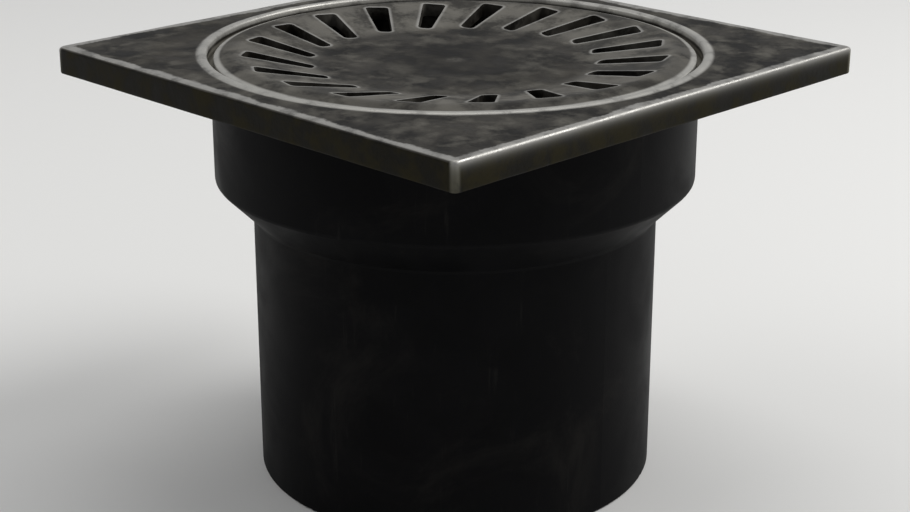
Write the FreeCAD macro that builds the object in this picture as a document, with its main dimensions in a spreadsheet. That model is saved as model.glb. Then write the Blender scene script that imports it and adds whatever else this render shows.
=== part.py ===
import FreeCAD, Part
import math
import os
import Sketcher

# Shower drain: a square plate with a dished grate, on a round pot that holds a water trap.
# The origin is the centre of the spigot's lower end, +Z is up, and the plate's sides follow X and Y.

# Driving sizes in millimetres, degrees and counts. The drain is sized outwards from the pipe's spigot.
sizes = [
    ("spigot_radius", 55.0, "outer radius of the spigot"),
    ("spigot_length", 74.0, "length of the spigot"),
    ("spigot_edge", 1.0, "rounding of the spigot's lower edge"),
    ("shoulder_run", 10.0, "how far the shoulder stands out from the spigot"),
    ("shoulder_height", 10.0, "height of the sloping shoulder"),
    ("collar_height", 26.6, "collar between the plate and the shoulder"),
    ("pot_wall", 3.0, "wall of the pot"),
    ("pot_blend", 1.5, "rounding of the pot's outer bends"),
    ("rib_count", 3, "ribs that carry the cup"),
    ("rib_thick", 4.0, "thickness of a rib"),
    ("rib_lift", 1.0, "height of the ribs above the spigot's end"),
    ("rib_shelf", 3.0, "height of a rib's shelf"),
    ("rib_reach", 5.0, "how far a shelf reaches under the cup"),
    ("rib_cheek", 10.0, "height of a rib beside the cup"),
    ("rib_play", 0.4, "play between the cup and the ribs"),
    ("skirt_play", 0.5, "play between the plate's skirt and the collar"),
    ("skirt_clear", 3.0, "height between the skirt and the trap funnel"),
    ("groove_back", 1.8, "metal behind the skirt's seal groove"),
    ("ledge_web", 2.0, "metal between the grate's seat and the pot's rim"),
    ("ledge_width", 6.6, "overlap of the grate on the plate's ledge"),
    ("rebate_depth", 1.4, "depth of the rebate that takes the pot's rim"),
    ("rebate_play", 0.3, "play round the pot's rim in the rebate"),
    ("bead_width", 2.5, "width of the raised bead round the opening"),
    ("bead_height", 0.3, "height of the raised bead"),
    ("plate_margin", 6.75, "flat land between the bead and the plate's side"),
    ("plate_corner", 1.25, "rounding of the plate's upright corners"),
    ("plate_edge", 1.0, "rounding of the plate's top edge"),
    ("grate_gap", 1.65, "open gap between the grate and the plate"),
    ("grate_rim", 4.0, "height of the grate's rim, and depth of its seat"),
    ("grate_thick", 3.0, "thickness of the grate's middle"),
    ("grate_edge", 0.5, "rounding of the rim's top edge"),
    ("grate_play", 0.5, "play of the dish inside the skirt"),
    ("rim_land", 5.1, "falling ring at the grate's rim"),
    ("rim_fall", 1.3, "fall of that ring towards the gap"),
    ("dish_depth", 3.7, "how far the middle lies below the rim"),
    ("dish_blend", 8.0, "rounding where the dish starts and ends"),
    ("slot_count", 20, "slots round the grate"),
    ("slot_reach", 17.9, "length of a slot along the radius"),
    ("slot_inner_land", 1.1, "metal between the middle disc and the slots"),
    ("slot_outer_land", 3.0, "metal between the slots and the rim's ring"),
    ("slot_outer_width", 6.8, "slot width at its outer end"),
    ("slot_inner_width", 3.9, "slot width at its inner end"),
    ("slot_slant", 17.2, "turn of a slot away from the radius"),
    ("slot_corner", 1.2, "rounding of a slot's corners"),
    ("seal_groove", 2.2, "depth of the grooves that hold the seals"),
    ("seal_play", 0.05, "play of a seal in its groove and bore"),
    ("seal_side", 0.4, "room above and below a seal"),
    ("funnel_play", 0.3, "play between the funnel's rim and the collar"),
    ("funnel_seat_play", 0.05, "play between the funnel and the shoulder"),
    ("funnel_bevel", 4.0, "width of the funnel's seat"),
    ("funnel_back", 2.8, "wall behind the funnel's seal groove"),
    ("funnel_rim_height", 7.0, "height of the funnel's rim"),
    ("funnel_wall", 3.0, "upright thickness of the funnel's slope"),
    ("funnel_fall", 12.0, "height of the funnel's slope"),
    ("tube_wall", 2.2, "wall of the dip tube"),
    ("tube_flow", 15.0, "way for water between dip tube and cup"),
    ("tube_lift", 7.5, "way for water between dip tube and cup floor"),
    ("cup_flow", 7.0, "way for water between cup and spigot"),
    ("cup_drop", 5.0, "height from the cup's rim up to the funnel's throat"),
    ("cup_wall", 2.0, "wall of the cup"),
    ("cup_floor", 2.5, "floor of the cup"),
    ("cup_edge", 2.0, "rounding of the cup's lower edge"),
]

doc = FreeCAD.newDocument("ShowerDrain")
sheet = doc.addObject("Spreadsheet::Sheet", "Sizes")
for row, (alias, amount, meaning) in enumerate(sizes, start=1):
    sheet.set(f"A{row}", meaning)
    sheet.set(f"B{row}", str(amount))
    sheet.setAlias(f"B{row}", alias)
doc.recompute()

# Heights, worked out from the driving sizes
spigot_top = "Sizes.spigot_length"
collar_bottom = f"({spigot_top} + Sizes.shoulder_height)"
plate_under = f"({collar_bottom} + Sizes.collar_height)"
rebate_roof = f"({plate_under} + Sizes.rebate_depth)"
ledge_top = f"({rebate_roof} + Sizes.ledge_web)"
plate_top = f"({ledge_top} + Sizes.grate_rim)"
dish_bottom = f"({plate_top} - Sizes.dish_depth)"
rim_top = f"({plate_top} - Sizes.rim_fall)"

# Radii of the pot, the plate and the grate, each from the one inside it
spigot_bore = "(Sizes.spigot_radius - Sizes.pot_wall)"
collar_radius = "(Sizes.spigot_radius + Sizes.shoulder_run)"
collar_bore = f"({collar_radius} - Sizes.pot_wall)"
rebate_radius = f"({collar_radius} + Sizes.rebate_play)"
skirt_radius = f"({collar_bore} - Sizes.skirt_play)"
skirt_groove_floor = f"({skirt_radius} - Sizes.seal_groove)"
skirt_bore = f"({skirt_groove_floor} - Sizes.groove_back)"
grate_radius = f"({skirt_bore} + Sizes.ledge_width)"
dish_radius = f"({grate_radius} - Sizes.rim_land)"
recess_radius = f"({grate_radius} + Sizes.grate_gap)"
bead_radius = f"({recess_radius} + Sizes.bead_width)"
plate_half = f"({bead_radius} + Sizes.plate_margin)"

# The inner shoulder is raised so that the pot keeps its wall along the slope
shoulder_slope = "(Sizes.shoulder_height / Sizes.shoulder_run)"
shoulder_rise = f"(Sizes.pot_wall * tan(atan(1 / {shoulder_slope}) / 2))"
inner_shoulder_top = f"({collar_bottom} + {shoulder_rise})"
inner_shoulder_bottom = f"({spigot_top} + {shoulder_rise})"

# Trap, from the funnel's seat down to the cup
funnel_radius = f"({collar_bore} - Sizes.funnel_play)"
funnel_groove_floor = f"({funnel_radius} - Sizes.seal_groove)"
funnel_rim_bore = f"({funnel_groove_floor} - Sizes.funnel_back)"
funnel_under_radius = f"({funnel_radius} - Sizes.funnel_bevel)"
funnel_seat = f"({inner_shoulder_top} - Sizes.funnel_play * {shoulder_slope} + Sizes.funnel_seat_play)"
funnel_top = f"({funnel_seat} + Sizes.funnel_rim_height)"
funnel_under = f"({funnel_seat} - Sizes.funnel_bevel * {shoulder_slope})"
funnel_throat = f"({funnel_under} - Sizes.funnel_fall)"
skirt_bottom = f"({funnel_top} + Sizes.skirt_clear)"
cup_radius = f"({spigot_bore} - Sizes.cup_flow)"
cup_bore = f"({cup_radius} - Sizes.cup_wall)"
cup_under = "(Sizes.rib_lift + Sizes.rib_shelf)"
cup_inside = f"({cup_under} + Sizes.cup_floor)"
cup_rim = f"({funnel_throat} - Sizes.cup_drop)"
tube_radius = f"({cup_bore} - Sizes.tube_flow)"
tube_bore = f"({tube_radius} - Sizes.tube_wall)"
tube_end = f"({cup_inside} + Sizes.tube_lift)"

# Seals lie at half height of the skirt and of the funnel's rim
skirt_seal_height = f"(({skirt_bottom} + {plate_under}) / 2)"
skirt_seal_half = f"(({collar_bore} - {skirt_groove_floor}) / 2 - Sizes.seal_play)"
skirt_groove_half = f"({skirt_seal_half} + Sizes.seal_side)"
funnel_seal_height = f"(({funnel_seat} + {funnel_top}) / 2)"
funnel_seal_half = f"(({collar_bore} - {funnel_groove_floor}) / 2 - Sizes.seal_play)"
funnel_groove_half = f"({funnel_seal_half} + Sizes.seal_side)"

# Slots lie on the sloping ring of the dish, round its flat middle
slot_end = f"({dish_radius} - Sizes.slot_outer_land)"
slot_start = f"({slot_end} - Sizes.slot_reach)"
centre_radius = f"({slot_start} - Sizes.slot_inner_land)"
slot_middle = f"(({slot_start} + {slot_end}) / 2)"
slot_angle = "(Sizes.slot_slant * 1 deg)"
slot_length = f"(Sizes.slot_reach / cos({slot_angle}))"

# A fillet along the plate's top stays inside the rounding of its corners
corner_share = 0.9
plate_top_edge = f"min(Sizes.plate_edge; Sizes.plate_corner * {corner_share})"

# A place on the drain's axis or at its lower end, and how near counts as the same place
axis = "0"
touch = 0.001

# The numbers by which a sketch knows its own axes and origin
horizontal_line = -1
upright_line = -2
sketch_origin = (-1, 1)


def measure(expression):
    return float(sheet.evalExpression(expression))


def new_body(label):
    body = doc.addObject("PartDesign::Body", label)
    body.Label = label
    return body


def origin_part(body, role):
    for feature in body.Origin.OriginFeatures:
        if feature.Role == role:
            return feature


def new_sketch(body, name, role):
    sketch = body.newObject("Sketcher::SketchObject", name)
    sketch.AttachmentSupport = (origin_part(body, role), "")
    sketch.MapMode = "FlatFace"
    return sketch


# A distance from the sketch's origin, or a place on its axis
def hold(sketch, kind, geometry, point, expression):
    if expression == axis:
        line = upright_line if kind == "DistanceX" else horizontal_line
        sketch.addConstraint(Sketcher.Constraint("PointOnObject", geometry, point, line))
        return
    distance = measure(expression)
    index = sketch.addConstraint(Sketcher.Constraint(kind, *sketch_origin, geometry, point, distance))
    sketch.setExpression(f"Constraints[{index}]", expression)


def set_size(sketch, kind, geometry, expression):
    index = sketch.addConstraint(Sketcher.Constraint(kind, geometry, measure(expression)))
    sketch.setExpression(f"Constraints[{index}]", expression)


# A closed outline of straight lines through corners given as expressions
def draw_outline(sketch, corners):
    points = [FreeCAD.Vector(measure(across), measure(up), 0) for across, up in corners]
    for start, end in zip(points, points[1:] + points[:1]):
        sketch.addGeometry(Part.LineSegment(start, end), False)
    for index, (across, up) in enumerate(corners):
        following = (index + 1) % len(corners)
        sketch.addConstraint(Sketcher.Constraint("Coincident", index, 2, following, 1))
        hold(sketch, "DistanceX", index, 1, across)
        hold(sketch, "DistanceY", index, 1, up)


# A solid or a cut turned about the drain's axis from an outline of radii and heights
def turn(body, kind, name, corners):
    sketch = new_sketch(body, f"{name}_outline", "XZ_Plane")
    draw_outline(sketch, corners)
    turn_sketch(body, kind, name, sketch)


def turn_sketch(body, kind, name, sketch):
    before = body.Shape.Volume if body.Tip else 0
    feature = body.newObject(f"PartDesign::{kind}", name)
    feature.Profile = sketch
    feature.ReferenceAxis = (sketch, ["V_Axis"])
    feature.Angle = 360
    doc.recompute()
    grew = body.Shape.Volume > before
    if grew != (kind == "Revolution"):
        raise RuntimeError(f"{name} did not change the solid")


def middle(edge):
    return edge.valueAt((edge.FirstParameter + edge.LastParameter) / 2)


# Edges that go round the axis at one of the given radii and heights
def ring_edges(shape, rings):
    places = [(measure(radius), measure(height)) for radius, height in rings]
    names = []
    for number, edge in enumerate(shape.Edges, start=1):
        point = middle(edge)
        for radius, height in places:
            if abs(math.hypot(point.x, point.y) - radius) < touch and abs(point.z - height) < touch:
                names.append(f"Edge{number}")
    return names


def round_edges(body, name, edges, size):
    base = body.Tip
    feature = body.newObject("PartDesign::Fillet", name)
    feature.Base = (base, edges)
    feature.setExpression("Radius", size)
    doc.recompute()


# Copies of a feature in equal steps round the axis
def repeat_round(body, name, feature, count):
    pattern = body.newObject("PartDesign::PolarPattern", name)
    pattern.Originals = [feature]
    pattern.Axis = (origin_part(body, "Z_Axis"), [""])
    pattern.Angle = 360
    pattern.setExpression("Occurrences", count)
    body.Tip = pattern
    doc.recompute()


# Rectangle of radii and heights, for grooves and rings
def ring_section(inner, outer, low, high):
    return [(inner, low), (outer, low), (outer, high), (inner, high)]


# Square plate with the grate's seat, a skirt that fits the pot and a raised bead
def make_frame_plate():
    body = new_body("frame_plate")
    square = new_sketch(body, "plate_square", "XY_Plane")
    square.setExpression("AttachmentOffset.Base.z", plate_under)
    half = measure(plate_half)
    corners = [(-half, -half), (half, -half), (half, half), (-half, half)]
    points = [FreeCAD.Vector(across, along, 0) for across, along in corners]
    for start, end in zip(points, points[1:] + points[:1]):
        square.addGeometry(Part.LineSegment(start, end), False)
    for side in range(len(points)):
        square.addConstraint(Sketcher.Constraint("Coincident", side, 2, (side + 1) % len(points), 1))
        square.addConstraint(Sketcher.Constraint("Vertical" if side % 2 else "Horizontal", side))
    square.addConstraint(Sketcher.Constraint("Symmetric", 0, 1, 2, 1, *sketch_origin))
    hold(square, "DistanceX", 2, 1, plate_half)
    hold(square, "DistanceY", 2, 1, plate_half)
    plate = body.newObject("PartDesign::Pad", "plate")
    plate.Profile = square
    plate.setExpression("Length", f"{plate_top} - {plate_under}")
    doc.recompute()

    top = measure(plate_top)
    rise = top - measure(plate_under)
    upright = [
        f"Edge{number}"
        for number, edge in enumerate(body.Shape.Edges, start=1)
        if abs(edge.BoundBox.ZLength - rise) < touch
    ]
    round_edges(body, "plate_corners", upright, "Sizes.plate_corner")
    outline = [
        f"Edge{number}"
        for number, edge in enumerate(body.Shape.Edges, start=1)
        if abs(edge.BoundBox.ZMin - top) < touch
    ]
    round_edges(body, "plate_top_edge", outline, plate_top_edge)

    opening = [
        (axis, plate_under),
        (skirt_bore, plate_under),
        (skirt_bore, ledge_top),
        (recess_radius, ledge_top),
        (recess_radius, plate_top),
        (axis, plate_top),
    ]
    turn(body, "Groove", "grate_seat", opening)
    turn(body, "Groove", "pot_rebate", ring_section(skirt_radius, rebate_radius, plate_under, rebate_roof))
    turn(body, "Revolution", "skirt", ring_section(skirt_bore, skirt_radius, skirt_bottom, rebate_roof))
    groove_low = f"({skirt_seal_height} - {skirt_groove_half})"
    groove_high = f"({skirt_seal_height} + {skirt_groove_half})"
    groove = ring_section(skirt_groove_floor, skirt_radius, groove_low, groove_high)
    turn(body, "Groove", "seal_groove", groove)

    bead = new_sketch(body, "bead_outline", "XZ_Plane")
    half_width = "(Sizes.bead_width / 2)"
    curve = f"(({half_width} * {half_width} + Sizes.bead_height * Sizes.bead_height) / 2 / Sizes.bead_height)"
    inner = FreeCAD.Vector(measure(recess_radius), top, 0)
    outer = FreeCAD.Vector(measure(bead_radius), top, 0)
    crown = (inner + outer) / 2 + FreeCAD.Vector(0, measure("Sizes.bead_height"), 0)
    bead.addGeometry(Part.LineSegment(inner, outer), False)
    bead.addGeometry(Part.Arc(outer, crown, inner), False)
    bead.addConstraint(Sketcher.Constraint("Coincident", 0, 2, 1, 1))
    bead.addConstraint(Sketcher.Constraint("Coincident", 0, 1, 1, 2))
    hold(bead, "DistanceX", 0, 1, recess_radius)
    hold(bead, "DistanceY", 0, 1, plate_top)
    hold(bead, "DistanceX", 0, 2, bead_radius)
    bead.addConstraint(Sketcher.Constraint("Horizontal", 0))
    set_size(bead, "Radius", 1, curve)
    turn_sketch(body, "Revolution", "bead", bead)
    return body


# Dished disc with slanted, tapering slots
def make_grate():
    body = new_body("grate")
    middle_under = f"({dish_bottom} - Sizes.grate_thick)"
    section = [
        (axis, middle_under),
        (centre_radius, middle_under),
        (f"({skirt_bore} - Sizes.grate_play)", ledge_top),
        (grate_radius, ledge_top),
        (grate_radius, rim_top),
        (dish_radius, plate_top),
        (centre_radius, dish_bottom),
        (axis, dish_bottom),
    ]
    turn(body, "Revolution", "disc", section)
    bends = [(dish_radius, plate_top), (centre_radius, dish_bottom)]
    round_edges(body, "dish_blends", ring_edges(body.Shape, bends), "Sizes.dish_blend")
    rim = [(grate_radius, rim_top)]
    round_edges(body, "rim_edge", ring_edges(body.Shape, rim), "Sizes.grate_edge")

    slot = new_sketch(body, "slot_outline", "XY_Plane")
    slot.setExpression("AttachmentOffset.Base.x", f"{slot_middle} - {slot_length} / 2 * cos({slot_angle})")
    slot.setExpression("AttachmentOffset.Base.y", f"{slot_length} / 2 * sin({slot_angle})")
    slot.setExpression("AttachmentOffset.Rotation.Angle", f"-{slot_angle}")
    draw_slot(slot)
    solid = body.Shape.Volume
    cut = body.newObject("PartDesign::Pocket", "slot")
    cut.Profile = slot
    cut.Type = "ThroughAll"
    cut.Reversed = True
    doc.recompute()
    if body.Shape.Volume >= solid:
        raise RuntimeError("the slot cut nothing")
    repeat_round(body, "slots", cut, "Sizes.slot_count")
    return body


# Trapezium with rounded corners, from the slot's inner end at the sketch's origin
def draw_slot(sketch):
    length = measure(slot_length)
    inner = measure("Sizes.slot_inner_width") / 2
    outer = measure("Sizes.slot_outer_width") / 2
    radius = measure("Sizes.slot_corner")
    flat = [(0, -inner), (length, -outer), (length, outer), (0, inner)]
    corners = [FreeCAD.Vector(along, across, 0) for along, across in flat]
    count = len(corners)
    directions = [(corners[(side + 1) % count] - corners[side]).normalize() for side in range(count)]
    setbacks = []
    for corner in range(count):
        bend = directions[corner - 1].getAngle(directions[corner])
        setbacks.append(radius * math.tan(bend / 2))
    for side in range(count):
        following = (side + 1) % count
        start = corners[side] + directions[side] * setbacks[side]
        end = corners[following] - directions[side] * setbacks[following]
        sketch.addGeometry(Part.LineSegment(start, end), False)
    for corner in range(count):
        start = corners[corner] - directions[corner - 1] * setbacks[corner]
        end = corners[corner] + directions[corner] * setbacks[corner]
        inward = FreeCAD.Vector(-directions[corner].y, directions[corner].x, 0)
        centre = end + inward * radius
        way = (corners[corner] - centre).normalize()
        sketch.addGeometry(Part.Arc(start, centre + way * radius, end), False)
    for corner in range(count):
        arc = count + corner
        sketch.addConstraint(Sketcher.Constraint("Tangent", (corner - 1) % count, 2, arc, 1))
        sketch.addConstraint(Sketcher.Constraint("Tangent", arc, 2, corner, 1))
        set_size(sketch, "Radius", arc, "Sizes.slot_corner")
    for corner in range(count):
        sketch.addGeometry(Part.Point(corners[corner]), True)
        point = 2 * count + corner
        sketch.addConstraint(Sketcher.Constraint("PointOnObject", point, 1, (corner - 1) % count))
        sketch.addConstraint(Sketcher.Constraint("PointOnObject", point, 1, corner))
    inner_low, outer_low, outer_high, inner_high = range(2 * count, 3 * count)
    hold(sketch, "DistanceX", inner_high, 1, axis)
    hold(sketch, "DistanceY", inner_high, 1, "(Sizes.slot_inner_width / 2)")
    hold(sketch, "DistanceX", outer_high, 1, slot_length)
    hold(sketch, "DistanceY", outer_high, 1, "(Sizes.slot_outer_width / 2)")
    sketch.addConstraint(Sketcher.Constraint("Symmetric", inner_low, 1, inner_high, 1, horizontal_line))
    sketch.addConstraint(Sketcher.Constraint("Symmetric", outer_low, 1, outer_high, 1, horizontal_line))


# Collar, shoulder and spigot in one, with ribs inside that carry the cup
def make_pot():
    body = new_body("pot")
    section = [
        (spigot_bore, axis),
        ("Sizes.spigot_radius", axis),
        ("Sizes.spigot_radius", spigot_top),
        (collar_radius, collar_bottom),
        (collar_radius, rebate_roof),
        (collar_bore, rebate_roof),
        (collar_bore, inner_shoulder_top),
        (spigot_bore, inner_shoulder_bottom),
    ]
    turn(body, "Revolution", "wall", section)
    bends = [("Sizes.spigot_radius", spigot_top), (collar_radius, collar_bottom)]
    round_edges(body, "outer_bends", ring_edges(body.Shape, bends), "Sizes.pot_blend")
    lower = [("Sizes.spigot_radius", axis)]
    round_edges(body, "lower_edge", ring_edges(body.Shape, lower), "Sizes.spigot_edge")

    rib = new_sketch(body, "rib_outline", "XZ_Plane")
    in_wall = "(Sizes.spigot_radius - Sizes.pot_wall / 2)"
    shelf_end = f"({cup_radius} - Sizes.rib_reach)"
    cheek = f"({cup_radius} + Sizes.rib_play)"
    cheek_top = f"({cup_under} + Sizes.rib_cheek)"
    outline = [
        (shelf_end, "Sizes.rib_lift"),
        (in_wall, "Sizes.rib_lift"),
        (in_wall, cheek_top),
        (cheek, cheek_top),
        (cheek, cup_under),
        (shelf_end, cup_under),
    ]
    draw_outline(rib, outline)
    pad = body.newObject("PartDesign::Pad", "rib")
    pad.Profile = rib
    pad.Midplane = True
    pad.setExpression("Length", "Sizes.rib_thick")
    doc.recompute()
    repeat_round(body, "ribs", pad, "Sizes.rib_count")
    return body


# Funnel with a dip tube, seated on the pot's inner shoulder
def make_trap_funnel():
    body = new_body("trap_funnel")
    slope_top = f"({funnel_under} + Sizes.funnel_wall)"
    mouth = f"({funnel_throat} + Sizes.funnel_wall)"
    section = [
        (tube_bore, tube_end),
        (tube_radius, tube_end),
        (tube_radius, funnel_throat),
        (funnel_under_radius, funnel_under),
        (funnel_radius, funnel_seat),
        (funnel_radius, funnel_top),
        (funnel_rim_bore, funnel_top),
        (funnel_rim_bore, slope_top),
        (tube_bore, mouth),
    ]
    turn(body, "Revolution", "funnel", section)
    groove_low = f"({funnel_seal_height} - {funnel_groove_half})"
    groove_high = f"({funnel_seal_height} + {funnel_groove_half})"
    groove = ring_section(funnel_groove_floor, funnel_radius, groove_low, groove_high)
    turn(body, "Groove", "seal_groove", groove)
    return body


# Cup with a closed floor, round the dip tube
def make_trap_cup():
    body = new_body("trap_cup")
    section = [
        (axis, cup_under),
        (cup_radius, cup_under),
        (cup_radius, cup_rim),
        (cup_bore, cup_rim),
        (cup_bore, cup_inside),
        (axis, cup_inside),
    ]
    turn(body, "Revolution", "cup", section)
    lower = [(cup_radius, cup_under)]
    round_edges(body, "lower_edge", ring_edges(body.Shape, lower), "Sizes.cup_edge")
    return body


# Round rubber ring between a groove's floor and the collar
def make_seal(label, groove_floor, half, height):
    seal = doc.addObject("Part::Torus", label)
    seal.Label = label
    seal.setExpression("Radius1", f"({groove_floor} + {collar_bore}) / 2")
    seal.setExpression("Radius2", half)
    seal.setExpression("Placement.Base.z", height)
    return seal


pieces = [
    make_frame_plate(),
    make_grate(),
    make_pot(),
    make_trap_funnel(),
    make_trap_cup(),
    make_seal("frame_seal", skirt_groove_floor, skirt_seal_half, skirt_seal_height),
    make_seal("funnel_seal", funnel_groove_floor, funnel_seal_half, funnel_seal_height),
]
doc.recompute()

for thing in doc.Objects:
    if "Invalid" in thing.State or "Error" in thing.State:
        raise RuntimeError(f"{thing.Label} failed")
for piece in pieces:
    if piece.Shape.isNull() or not piece.Shape.isValid() or len(piece.Shape.Solids) != 1:
        raise RuntimeError(f"{piece.Label} is not one sound solid")

os.makedirs("parts", exist_ok=True)
for piece in pieces:
    piece.Shape.exportStep(f"parts/{piece.Label}.step")
    box = piece.Shape.BoundBox
    print(piece.Label, round(piece.Shape.Volume), "mm3", round(box.ZMin, 2), "to", round(box.ZMax, 2))
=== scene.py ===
import math

import bmesh
import bpy
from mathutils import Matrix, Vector


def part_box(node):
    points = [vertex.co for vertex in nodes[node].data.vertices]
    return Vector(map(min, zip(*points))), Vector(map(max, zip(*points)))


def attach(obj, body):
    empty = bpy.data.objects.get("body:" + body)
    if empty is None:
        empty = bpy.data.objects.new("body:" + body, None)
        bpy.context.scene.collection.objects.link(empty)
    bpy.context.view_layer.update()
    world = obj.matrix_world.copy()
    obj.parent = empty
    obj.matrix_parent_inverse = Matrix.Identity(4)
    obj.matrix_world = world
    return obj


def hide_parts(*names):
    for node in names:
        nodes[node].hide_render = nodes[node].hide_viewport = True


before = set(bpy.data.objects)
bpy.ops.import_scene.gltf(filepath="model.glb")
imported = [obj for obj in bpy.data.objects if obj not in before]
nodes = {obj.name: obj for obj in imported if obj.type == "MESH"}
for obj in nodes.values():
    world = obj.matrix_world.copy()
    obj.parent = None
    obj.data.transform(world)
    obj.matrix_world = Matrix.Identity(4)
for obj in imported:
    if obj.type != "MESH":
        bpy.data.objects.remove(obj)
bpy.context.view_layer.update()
bpy.ops.object.select_all(action="DESELECT")  # the frame comes in selected
plateLow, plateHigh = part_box("frame_plate")
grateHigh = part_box("grate")[1]
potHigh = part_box("pot")[1]
sealLow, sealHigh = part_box("frame_seal")
beadHeight = 0.0003
topZ = plateHigh.z - beadHeight  # the plate's flat top
nearby = 1e-5  # points closer than this count as one place
mergeDistance = 1e-6
wallLimit = 0.5  # a face whose normal rises less than this is a wall
flatLimit = 0.7  # and one whose normal rises more than this lies flat
print("frame loaded:", ", ".join(sorted(nodes)))


# small helpers for modelling

def editMesh():
    return bmesh.from_edit_mesh(bpy.context.object.data)


def dropSelection():
    bpy.ops.mesh.select_all(action="DESELECT")


def pick(kind, wanted):  # selects only the edges or faces that pass a test, and counts them
    dropSelection()
    bpy.ops.mesh.select_mode(type=kind)
    mesh = editMesh()
    parts = mesh.edges if kind == "EDGE" else mesh.faces
    count = 0
    for part in parts:
        if wanted(part):
            part.select = True
            count += 1
    mesh.select_flush_mode()
    bmesh.update_edit_mesh(bpy.context.object.data)
    return count


def pickEdges(wanted):
    return pick("EDGE", wanted)


def pickFaces(wanted):
    return pick("FACE", wanted)


def reach(point):
    return math.hypot(point.x, point.y)


def turnRings(start, rings):  # carries the selected ring through a list of radius and height
    lastRadius, lastHeight = start
    for radius, height in rings:
        bpy.ops.mesh.extrude_region()
        share = radius / lastRadius
        bpy.ops.transform.resize(value=(share, share, 1))
        bpy.ops.transform.translate(value=(0, 0, height - lastHeight))
        lastRadius, lastHeight = radius, height


def arcRings(centre, radius, startAngle, endAngle, steps):  # an arc in the radius and height plane
    rings = []
    for step in range(steps + 1):
        angle = math.radians(startAngle + (endAngle - startAngle) * step / steps)
        rings.append((centre[0] + radius * math.cos(angle), centre[1] + radius * math.sin(angle)))
    return rings


def closeMesh():
    bpy.ops.mesh.select_all(action="SELECT")
    bpy.ops.mesh.remove_doubles(threshold=mergeDistance)
    bpy.ops.mesh.normals_make_consistent(inside=False)
    bpy.ops.object.mode_set(mode="OBJECT")


castSkin = {
    "finerLevels": 1,
    "waveDetail": 2,
    "waveMiddle": 0.5,
    "smoothAngle": 38,
    "flatWeight": 50,
}


def unevenSkin(piece, name, grainSize, depth):  # the slight waves of a cast and worn surface
    finer = piece.modifiers.new("finer", type="SUBSURF")
    finer.subdivision_type = "SIMPLE"
    finer.levels = castSkin["finerLevels"]
    finer.render_levels = castSkin["finerLevels"]
    bpy.ops.object.modifier_apply(modifier="finer")
    texture = bpy.data.textures.new(name, type="CLOUDS")
    texture.noise_scale = grainSize
    texture.noise_depth = castSkin["waveDetail"]
    waves = piece.modifiers.new(name, type="DISPLACE")
    waves.texture = texture
    waves.texture_coords = "LOCAL"
    waves.strength = depth
    waves.mid_level = castSkin["waveMiddle"]
    bpy.ops.object.modifier_apply(modifier=name)


def smoothSkin(piece):  # soft rounded edges between faces that stay flat
    bpy.ops.object.shade_smooth_by_angle(angle=math.radians(castSkin["smoothAngle"]))
    flats = piece.modifiers.new("flats", type="WEIGHTED_NORMAL")
    flats.mode = "FACE_AREA"
    flats.weight = castSkin["flatWeight"]
    flats.keep_sharp = True
    bpy.ops.object.modifier_apply(modifier="flats")


# cast plate: square with a raised bead, the grate's seat and a skirt that goes into the pot
castPlate = {
    "ringSegments": 192,
    "cornerRadius": 0.00125,
    "cornerSegments": 5,
    "topEdge": 0.001,
    "topEdgeSegments": 5,
    "lowerEdge": 0.0005,
    "lowerEdgeSegments": 2,
    "sideRows": 4,
    "topCuts": 2,
    "underCuts": 1,
    "thickness": 0.0074,
    "beadWidth": 0.0025,
    "beadRings": 8,
    "seatEdge": 0.0008,
    "seatEdgeRings": 4,
    "grateGap": 0.00165,
    "ledgeDepth": 0.004,
    "boreRadius": 0.0575,
    "skirtWall": 0.004,
    "rebateGap": 0.0003,
    "grooveDepth": 0.0022,
    "grooveHalf": 0.0017,
    "landWidth": 0.0018,
    "softEdge": 0.0003,
    "waveSize": 0.014,
    "waveDepth": 0.00016,
}


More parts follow.
